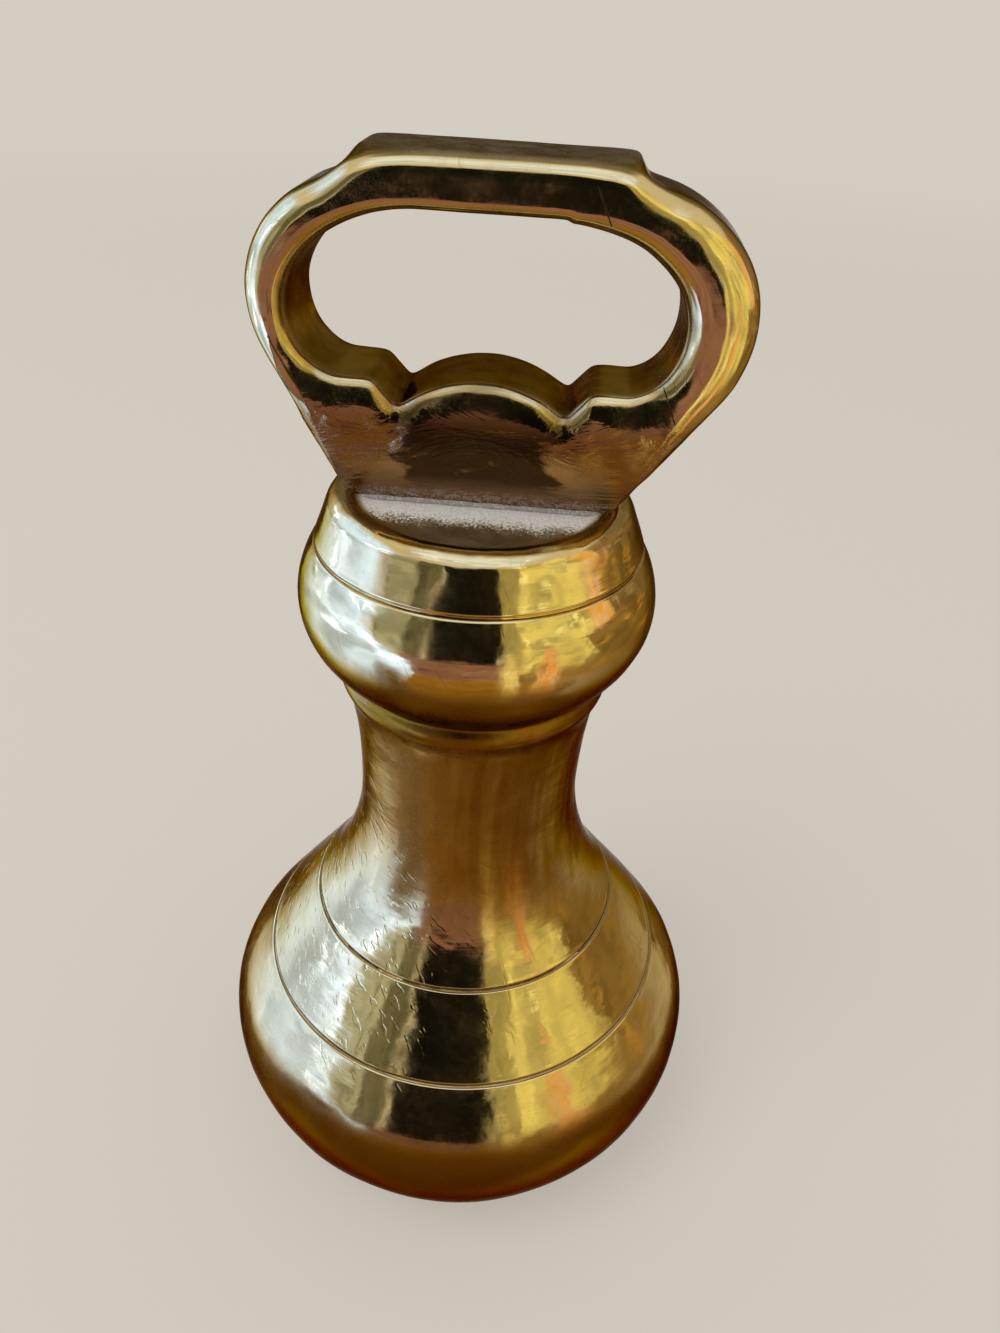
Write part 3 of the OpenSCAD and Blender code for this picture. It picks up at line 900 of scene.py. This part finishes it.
def makeBellBrass():
    newMaterial("bellBrass")
    f = named(bellFinish)
    where = objectPlace()
    x, y, z = split(where)
    # the neck is tarnished brown; painted shade makes it browner on its right and darkens the undersides of
    # the bulb and head, less on the lit left
    neck = times(ramp(z, *f.neckFoot), ramp(z, *f.neckTop))
    bulb = times(ramp(z, *f.bulbUnder), ramp(x, *f.bulbLeft, 0.55, 1))
    head = times(ramp(z, *f.headUnder), ramp(x, *f.headLeft, 0.35, 1))
    under = calc("MAXIMUM", bulb, times(head, ramp(z, *f.headFoot)))
    streak = speck(scaled(where, f.streaks), 1, 3, 0.55)
    rubbed = ramp(x, *f.neckLeft, 0.15, 0.9)  # painted shade: browning is light on the neck's left, the lit side, and heavy on its right
    brownedAndShaded = times(neck, times(rubbed, ramp(streak, *midNoise, 0.75, 1)))
    # tarnish on the neck and painted shade on the undersides dull the brass together
    tarnish = plus(brownedAndShaded, times(under, 0.95))
    colour, rough, marks = brassLook(tarnish, f, ramp(z, *f.lip, 0.15, 0.9))
    # painted shade: the neck's right, the right flank and the undersides are tinted darker brown
    shade = times(times(neck, ramp(x, *f.neckRight)), ramp(streak, *midNoise, 0.5, 0.85))
    side = times(ramp(x, *f.sideLeft), ramp(z, *f.sideFoot, 0, 0.4))
    side = times(side, ramp(z, *f.sideTop))
    shade = calc("MAXIMUM", calc("MAXIMUM", shade, side), times(under, 0.75))
    colour = tint(shade, colour, metal.brown)
    # frost is left on the seat where a cloth can't reach beside the foot
    out = vector("LENGTH", scaled(where, (1, 1, 0)), gives="Value")
    seat = times(ramp(z, *f.seatZ), ramp(out, *f.seatR))
    frost = useGroup(frostGrain, {"Size": metal.frostSize})
    grain = ramp(speck(where, f.grainSize, 3, 0.75), *midNoise)
    uneven = ramp(speck(where, f.unevenSize), *midNoise, *f.frostUneven)
    reach = plus(calc("ABSOLUTE", y), uneven)
    cover = plus(grain, ramp(reach, *f.frostReach, -1.3, 0.15))
    band = times(ramp(cover, -0.2, 0.5), seat)
    grit = tint(ramp(speck(where, f.gritSize, 1, 0.5), 0.35, 0.6), metal.grit, metal.frost)
    colour = tint(times(band, 0.9), colour, grit)
    rough = plus(rough, times(seat, 0.3))
    rough = plus(rough, times(band, 0.1), True)
    # bumps: soft lumps, turning ripples, streaks down the neck, knocks on the left, frost and fine marks
    lumps = speck(where, f.lumpSize, 2, 0.45, 0.3)
    ripple = speck(scaled(where, f.ripples), 1, 2, 0.5)
    slanted = scaled(turned(where, f.knockTurn), f.knocks)
    knock = ramp(speck(slanted, 1, 1, 0.4), 0.61, 0.73, 0, -1)
    struck = times(ramp(z, *f.knockFoot), ramp(z, *f.knockTop))
    struck = times(ramp(x, *f.knockRight, 0.12, 1), struck)
    normal = bumps((lumps, f.lumpDepth), (ripple, f.rippleDepth), (times(streak, neck), f.streakDepth),
                   (times(knock, struck), f.knockDepth), (times(frost["Height"], band), f.frostDepth),
                   (marks, f.markDepth))
    return finishLook(colour, rough, normal, calc("SUBTRACT", 1, times(band, 0.8)), metal.grazing)


handleFinish = {
    "patchSize": 75, "stretch": (260, 260, 900), "cross": (1700, 140, 140), "dirty": 0.9,
    "padTop": (0.1706, 0.1711), "plateTop": (0.1445, 0.1365), "footTop": (0.1335, 0.129),
    "drift": (70, 70, 170), "smokySize": 210, "lumpSize": 150,
    "smokeSide": (0.0165, 0.005), "smokeFoot": (0.1275, 0.1315),
    "cracks": (((0.01255, -0.00825, 0.16883), (0.01462, -0.0075, 0.16458)),
               ((0.02331, -0.0075, 0.14586), (0.02529, -0.00825, 0.14154))),
    "frostTop": (0.1296, 0.1264), "dullTop": (0.139, 0.129),
    "lumpDepth": 0.00009, "castDepth": 0.0005, "frostDepth": 0.00004, "markDepth": 0.000006,
}


def makeHandleBrass():
    newMaterial("handleBrass")
    f = named(handleFinish)
    where = objectPlace()
    x, _, z = split(where)
    # the pad's top is worn and a little dull; the loop's inside and the lower plate are darkened with painted
    # shade and reflection
    pad = times(ramp(z, *f.padTop), 0.3)
    inside = attribute("inside")
    low = ramp(z, *f.plateTop)
    dullAndShade = plus(plus(pad, times(low, 0.5)), times(inside, 0.55))
    colour, rough, marks = brassLook(dullAndShade, f, f.dirty)
    # painted shade: an olive mottle darkens the loop's inside
    insideMottle = ramp(speck(where, f.smokySize), *midNoise, 0.1, 0.6)
    colour = tint(times(inside, insideMottle), colour, metal.olive)
    # painted reflection: the lower plate is tinted plum brown, darker umber towards its foot as painted
    # shade, with a dark reflection painted across its middle
    colour = tint(times(low, 0.8), colour, metal.plum)
    colour = tint(ramp(z, *f.footTop, 0, 0.7), colour, metal.umber)
    drift = speck(scaled(where, f.drift), 1, 4, 0.6, 1.6)
    centre = ramp(calc("ABSOLUTE", x), *f.smokeSide)
    paintedDarkMask = plus(drift, ramp(centre, 0, 1, -0.16, 0.2))
    paintedDarkMask = times(ramp(paintedDarkMask, 0.47, 0.62, 0, 0.95), times(low, ramp(z, *f.smokeFoot)))
    colour = tint(paintedDarkMask, colour, metal.smoke)
    for start, end in f.cracks:
        crack = useGroup(hairline, {"From": start, "To": end})["Mask"]
        colour = tint(crack, colour, metal.dirt)
        rough = plus(rough, times(crack, 0.4), True)
    colour = tint(times(pad, 1.6), colour, metal.scuffed)
    rough = plus(rough, times(pad, 0.5))
    # frost thins out up the plate from its foot
    frost = useGroup(frostGrain, {"Size": metal.frostSize})
    chill = times(ramp(z, *f.frostTop), ramp(frost["Height"], 0.05, 0.4))
    colour = tint(times(chill, 0.35), colour, metal.frost)
    rough = plus(rough, ramp(z, *f.dullTop, 0, 0.16))
    rough = plus(rough, times(chill, 0.2), True)
    # bumps: soft lumps, the plate's face left as cast, frost and fine marks
    lumps = speck(where, f.lumpSize, 2, 0.45, 0.4)
    normal = bumps((lumps, f.lumpDepth), (times(drift, low), f.castDepth),
                   (times(frost["Height"], chill), f.frostDepth), (marks, f.markDepth))
    return finishLook(colour, rough, normal, 1, metal.grazing)


fixingFinish = {
    "tarnish": 0.35, "patchSize": 140, "stretch": (90, 90, 4200), "cross": (900, 300, 300),
    "markDepth": 0.00002,
}


def makeFixingBrass():
    newMaterial("fixingBrass")
    f = named(fixingFinish)
    tone = useGroup(brassTone, {"TarnishAndShade": f.tarnish, "Size": f.patchSize})
    marks = useGroup(polishMarks, {"Stretch": f.stretch, "Cross": f.cross})
    return finishLook(tone["Color"], tone["Roughness"], bumps((marks["Height"], f.markDepth)), 1)


solderFinish = {
    "ground": (0.6, 0.56, 0.5, 1), "crystal": (0.92, 0.9, 0.86, 1), "stain": (0.52, 0.4, 0.22, 1),
    "size": 2600, "stainSize": 420, "depth": 0.00009, "metal": 0.9,
}


def makeSolderFrost():
    newMaterial("solderFrost")
    f = named(solderFinish)
    frost = useGroup(frostGrain, {"Size": f.size})
    stain = ramp(speck(objectPlace(), f.stainSize), 0.55, 0.75, 0, 0.5)
    colour = tint(stain, tint(frost["Mask"], f.ground, f.crystal), f.stain)
    rough = ramp(frost["Mask"], 0, 1, 0.62, 0.4)
    return finishLook(colour, rough, bumps((frost["Height"], f.depth)), f.metal)


# Light and dark of each lead, and the size of its bloom
leadFinish = {
    "sealLead": ((0.42, 0.43, 0.45, 1), (0.22, 0.225, 0.24, 1), 260),
    "shotLead": ((0.36, 0.37, 0.39, 1), (0.2, 0.2, 0.215, 1), 520),
    "soot": (0.12, 0.12, 0.13, 1), "depth": 0.00006, "metal": 0.85,
}


def makeLead(name):
    newMaterial(name)
    f = named(leadFinish)
    light, dark, size = leadFinish[name]
    where = objectPlace()
    bloom = speck(where, size, 4, 0.6, 0.5)
    grain = speck(where, size * 9)
    colour = tint(ramp(bloom, 0.35, 0.7), dark, light)
    colour = tint(ramp(grain, 0.6, 0.8, 0, 0.4), colour, f.soot)
    return finishLook(colour, ramp(bloom, 0.3, 0.75, 0.62, 0.44), bumps((grain, f.depth)), f.metal)


dress(bellSkin, makeBellBrass())
dress(handleSkin, makeHandleBrass())
solderFrost = makeSolderFrost()
dress(frontRun, solderFrost)
dress(rearRun, solderFrost)
dress(sealDisc, makeLead("sealLead"))
dress(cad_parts["adjusting_shot"], makeLead("shotLead"))
fixingBrass = makeFixingBrass()
for name in ("handle_stud", "left_dowel", "right_dowel", "closing_plug"):
    dress(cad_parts[name], fixingBrass)
print("materials set")

# Floor, light and the boards that the metal reflects

studio = {
    "floorColour": (0.658, 0.61, 0.539, 1), "floorGlow": 0.6, "floorFade": (0.45, 1.6),
    "floorR": 6, "floorSides": 96, "floorZ": -0.00005,
    "skyColour": (1, 0.985, 0.96, 1), "skyLevel": 0.72,
    "keyPlace": (-0.75, -0.55, 1.5), "keySize": (0.9, 0.9), "keyPower": 10,
    "keyColour": (1, 0.995, 0.98), "aim": (0, 0, 0.09),
}

# Boards that only the object's reflections show: azimuth from the front, elevation, distance, width,
# height, three colours mottled together, mottle scale, soft share of the edges
boards = {
    "leftBoard": (-95, 18, 0.72, 1.1, 0.95,
        ((0.85, 1.25, 2.55), (0.45, 0.64, 1.22), (2.3, 3.35, 6.5)), 2.6, 0.4),
    "sideBoard": (-43, 14, 0.66, 0.46, 0.62,
        ((0.3, 0.32, 0.27), (0.5, 0.54, 0.5), (0.17, 0.16, 0.12)), 2.4, 0.35),
    "darkSide": (-31, 14, 0.65, 0.19, 0.62,
        ((0.1, 0.1, 0.065), (0.2, 0.19, 0.13), (0.05, 0.05, 0.035)), 4, 0.35),
    "frontFlag": (-1, 12, 0.64, 0.5, 0.74,
        ((0.006, 0.006, 0.005), (0.012, 0.01, 0.008), (0.004, 0.004, 0.004)), 3, 0.08),
    "skyBoard": (-6, 72, 0.7, 0.9, 0.62, ((0.9, 1.03, 1.45), (0.6, 0.68, 0.9), (1.1, 1.3, 1.8)), 3, 0.3),
    "oliveBoard": (26, 16, 0.64, 0.15, 0.74,
        ((0.42, 0.37, 0.15), (0.24, 0.22, 0.1), (0.62, 0.55, 0.26)), 6, 0.35),
    "yellowBoard": (50, 18, 0.67, 0.81, 0.8,
        ((0.9, 0.8, 0.3), (0.42, 0.38, 0.17), (1.2, 1.15, 0.6)), 4.5, 0.2),
    "orangeBoard": (88, 14, 0.66, 0.24, 0.7, ((0.9, 0.46, 0.08), (0.75, 0.58, 0.5), (1.1, 0.8, 0.4)), 5, 0.3),
    "brownBoard": (118, 14, 0.7, 0.7, 0.85,
        ((0.28, 0.19, 0.09), (0.16, 0.1, 0.04), (0.5, 0.4, 0.27)), 4, 0.3),
    "rearRightBoard": (142, 20, 0.72, 0.7, 0.85,
        ((0.2, 0.165, 0.11), (0.3, 0.24, 0.16), (0.14, 0.11, 0.07)), 2, 0.4),
    "rearBoard": (188, 30, 0.72, 1, 0.95,
        ((0.17, 0.15, 0.1), (0.24, 0.21, 0.16), (0.11, 0.1, 0.07)), 2, 0.35),
    "topBoard": (0, 115, 0.85, 0.9, 0.6, ((0.22, 0.2, 0.14), (0.3, 0.27, 0.2), (0.15, 0.13, 0.09)), 2, 0.4),
}
# Low boards round the foot, rising outwards: azimuth, near and far distances and heights, width,
# colours, mottle scale, soft share
lowBoards = {
    "frontNear": (0, (0.048, 0.088), (0.001, 0.005), 0.3,
        ((0.27, 0.155, 0.045), (0.2, 0.11, 0.03), (0.36, 0.22, 0.08)), 6, 0.16),
    "frontMid": (0, (0.08, 0.21), (0.003, 0.014), 0.5,
        ((0.32, 0.17, 0.024), (0.25, 0.13, 0.016), (0.43, 0.25, 0.055)), 6, 0.16),
    "leftFoot": (-90, (0.047, 0.088), (0.001, 0.009), 0.13,
        ((0.3, 0.2, 0.1), (0.2, 0.13, 0.06), (0.5, 0.43, 0.34)), 6, 0.3),
    "rightFoot": (90, (0.047, 0.092), (0.001, 0.009), 0.13,
        ((0.3, 0.18, 0.06), (0.2, 0.115, 0.04), (0.44, 0.32, 0.14)), 6, 0.3),
    "frontFar": (0, (0.19, 0.47), (0.015, 0.06), 0.66,
        ((0.25, 0.125, 0.11), (0.36, 0.2, 0.16), (0.02, 0.014, 0.012)), 4.5, 0.1),
    "rearLow": (180, (0.055, 0.5), (0.003, 0.1), 0.8,
        ((0.2, 0.13, 0.06), (0.13, 0.08, 0.03), (0.32, 0.24, 0.14)), 5, 0.3),
    "leftNear": (-45, (0.06, 0.2), (0.006, 0.043), 0.075,
        ((0.2, 0.14, 0.06), (0.11, 0.07, 0.02), (0.42, 0.4, 0.34)), 9, 0.8),
    "leftLow": (-88, (0.075, 0.62), (0.004, 0.15), 0.62,
        ((1.05, 1.5, 3.05), (0.5, 0.68, 1.25), (2.2, 3.1, 6)), 3, 0.25),
    "glintLow": (24, (0.075, 0.6), (0.005, 0.15), 0.035,
        ((1, 0.85, 0.4), (0.5, 0.4, 0.15), (1.3, 1.2, 0.8)), 7, 0.4),
    "flameLow": (48, (0.075, 0.6), (0.006, 0.16), 0.05,
        ((0.9, 0.42, 0.06), (0.8, 0.6, 0.5), (0.3, 0.16, 0.05)), 7, 0.4),
    "yellowLow": (58, (0.17, 0.6), (0.032, 0.145), 0.36,
        ((0.8, 0.7, 0.25), (0.42, 0.37, 0.15), (1.05, 0.95, 0.45)), 6, 0.3),
    "rightLow": (82, (0.085, 0.62), (0.004, 0.15), 0.62,
        ((0.3, 0.19, 0.06), (0.17, 0.11, 0.035), (0.6, 0.34, 0.08)), 4, 0.25),
}


def seenRays():
    path = put("LightPath").outputs
    return calc("MAXIMUM", path["Is Camera Ray"],
                calc("MAXIMUM", path["Is Glossy Ray"], path["Is Transmission Ray"]))


def stageMaterial(name):
    newMaterial(name)
    tree.nodes.clear()


def emit(colour, strength=1, kind="Emission"):
    return put(kind, {"Color": colour, "Strength": strength}).outputs[0]


def mixShader(share, a, b):
    return put("MixShader", {0: share, 1: a, 2: b}).outputs[0]


def aimed(place, aim):
    back = (Vector(aim) - Vector(place)).normalized()
    turn = back.to_track_quat("Z", "Y").to_matrix().to_4x4()
    return Matrix.Translation(place) @ turn


def makeFloor():
    s = named(studio)
    freshStart()
    bpy.ops.mesh.primitive_circle_add(
        vertices=s.floorSides, radius=s.floorR, fill_type="NGON", location=(0, 0, s.floorZ))
    floor = bpy.context.object
    floor.name = "paleFloor"
    stageMaterial("paleFloor")
    matt = put("BsdfDiffuse", {"Color": s.floorColour}).outputs[0]
    lit = mixShader(times(seenRays(), s.floorGlow), matt, emit(s.floorColour))
    out = vector("LENGTH", objectPlace(), gives="Value")
    below = put("NewGeometry").outputs["Backfacing"]  # the floor is clear from underneath
    fade = calc("MAXIMUM", ramp(out, *s.floorFade), below)
    put("OutputMaterial", {"Surface": mixShader(fade, lit, put("BsdfTransparent").outputs[0])})
    dress(floor, owner)


def makeWorld():
    s = named(studio)
    openNodes(bpy.data.worlds.new("studioWorld"))
    scene.world = owner
    tree.nodes.clear()
    soft = emit(s.skyColour, s.skyLevel, "Background")
    pale = emit(s.floorColour, 1, "Background")
    put("OutputWorld", {"Surface": mixShader(seenRays(), soft, pale)})


def makeKey():
    s = named(studio)
    data = bpy.data.lights.new("keyBox", "AREA")
    data.shape = "RECTANGLE"
    data.size, data.size_y = s.keySize
    data.energy, data.color = s.keyPower, s.keyColour
    key = addObject(data, aimed(s.keyPlace, s.aim) @ Matrix.Rotation(pi, 4, "X"))  # lamps shine along -Z
    key.visible_camera = key.visible_glossy = False  # the metal shows the boards


def addBoard(name, place, width, height, colours, scale, soft):
    freshStart()
    bpy.ops.mesh.primitive_plane_add(size=1)
    board = bpy.context.object
    board.name = name
    board.matrix_world = place @ Matrix.Diagonal((width, height, 1, 1))
    stageMaterial(name)
    where = objectPlace()
    first, second, third = ((*colour, 1) for colour in colours)
    blot = speck(where, scale, 2, 0.5, 0.3)
    fleck = speck(where, scale * 1.7, 2, 0.5, 0.8)
    colour = tint(ramp(blot, 0.42, 0.62), first, second)
    colour = tint(ramp(fleck, 0.56, 0.68), colour, third)
    x, y, _ = split(where)
    body = times(*(ramp(calc("ABSOLUTE", side), 0.5, 0.5 - soft / 2) for side in (x, y)))
    clear = put("BsdfTransparent").outputs[0]
    put("OutputMaterial", {"Surface": mixShader(body, clear, emit(colour))})
    dress(board, owner)
    board.visible_camera = board.visible_diffuse = board.visible_shadow = False


def makeBoards():
    aim = Vector(studio["aim"])
    for name, (azimuth, elevation, far, *size) in boards.items():
        a, e = radians(azimuth), radians(elevation)
        place = aim + far * Vector((sin(a) * cos(e), -cos(a) * cos(e), sin(e)))
        addBoard(name, aimed(place, aim), *size)
    for name, (azimuth, reach, heights, width, *look) in lowBoards.items():
        a = radians(azimuth)
        outwards = Vector((sin(a), -cos(a), 0))
        near, far = (outwards * r + Vector((0, 0, z)) for r, z in zip(reach, heights))
        across, slope = Vector((cos(a), sin(a), 0)), (far - near).normalized()
        turn = Matrix((across, slope, across.cross(slope))).transposed().to_4x4()
        addBoard(name, Matrix.Translation((near + far) / 2) @ turn, width, (far - near).length, *look)


makeFloor()
makeWorld()
makeKey()
makeBoards()
print("studio set")
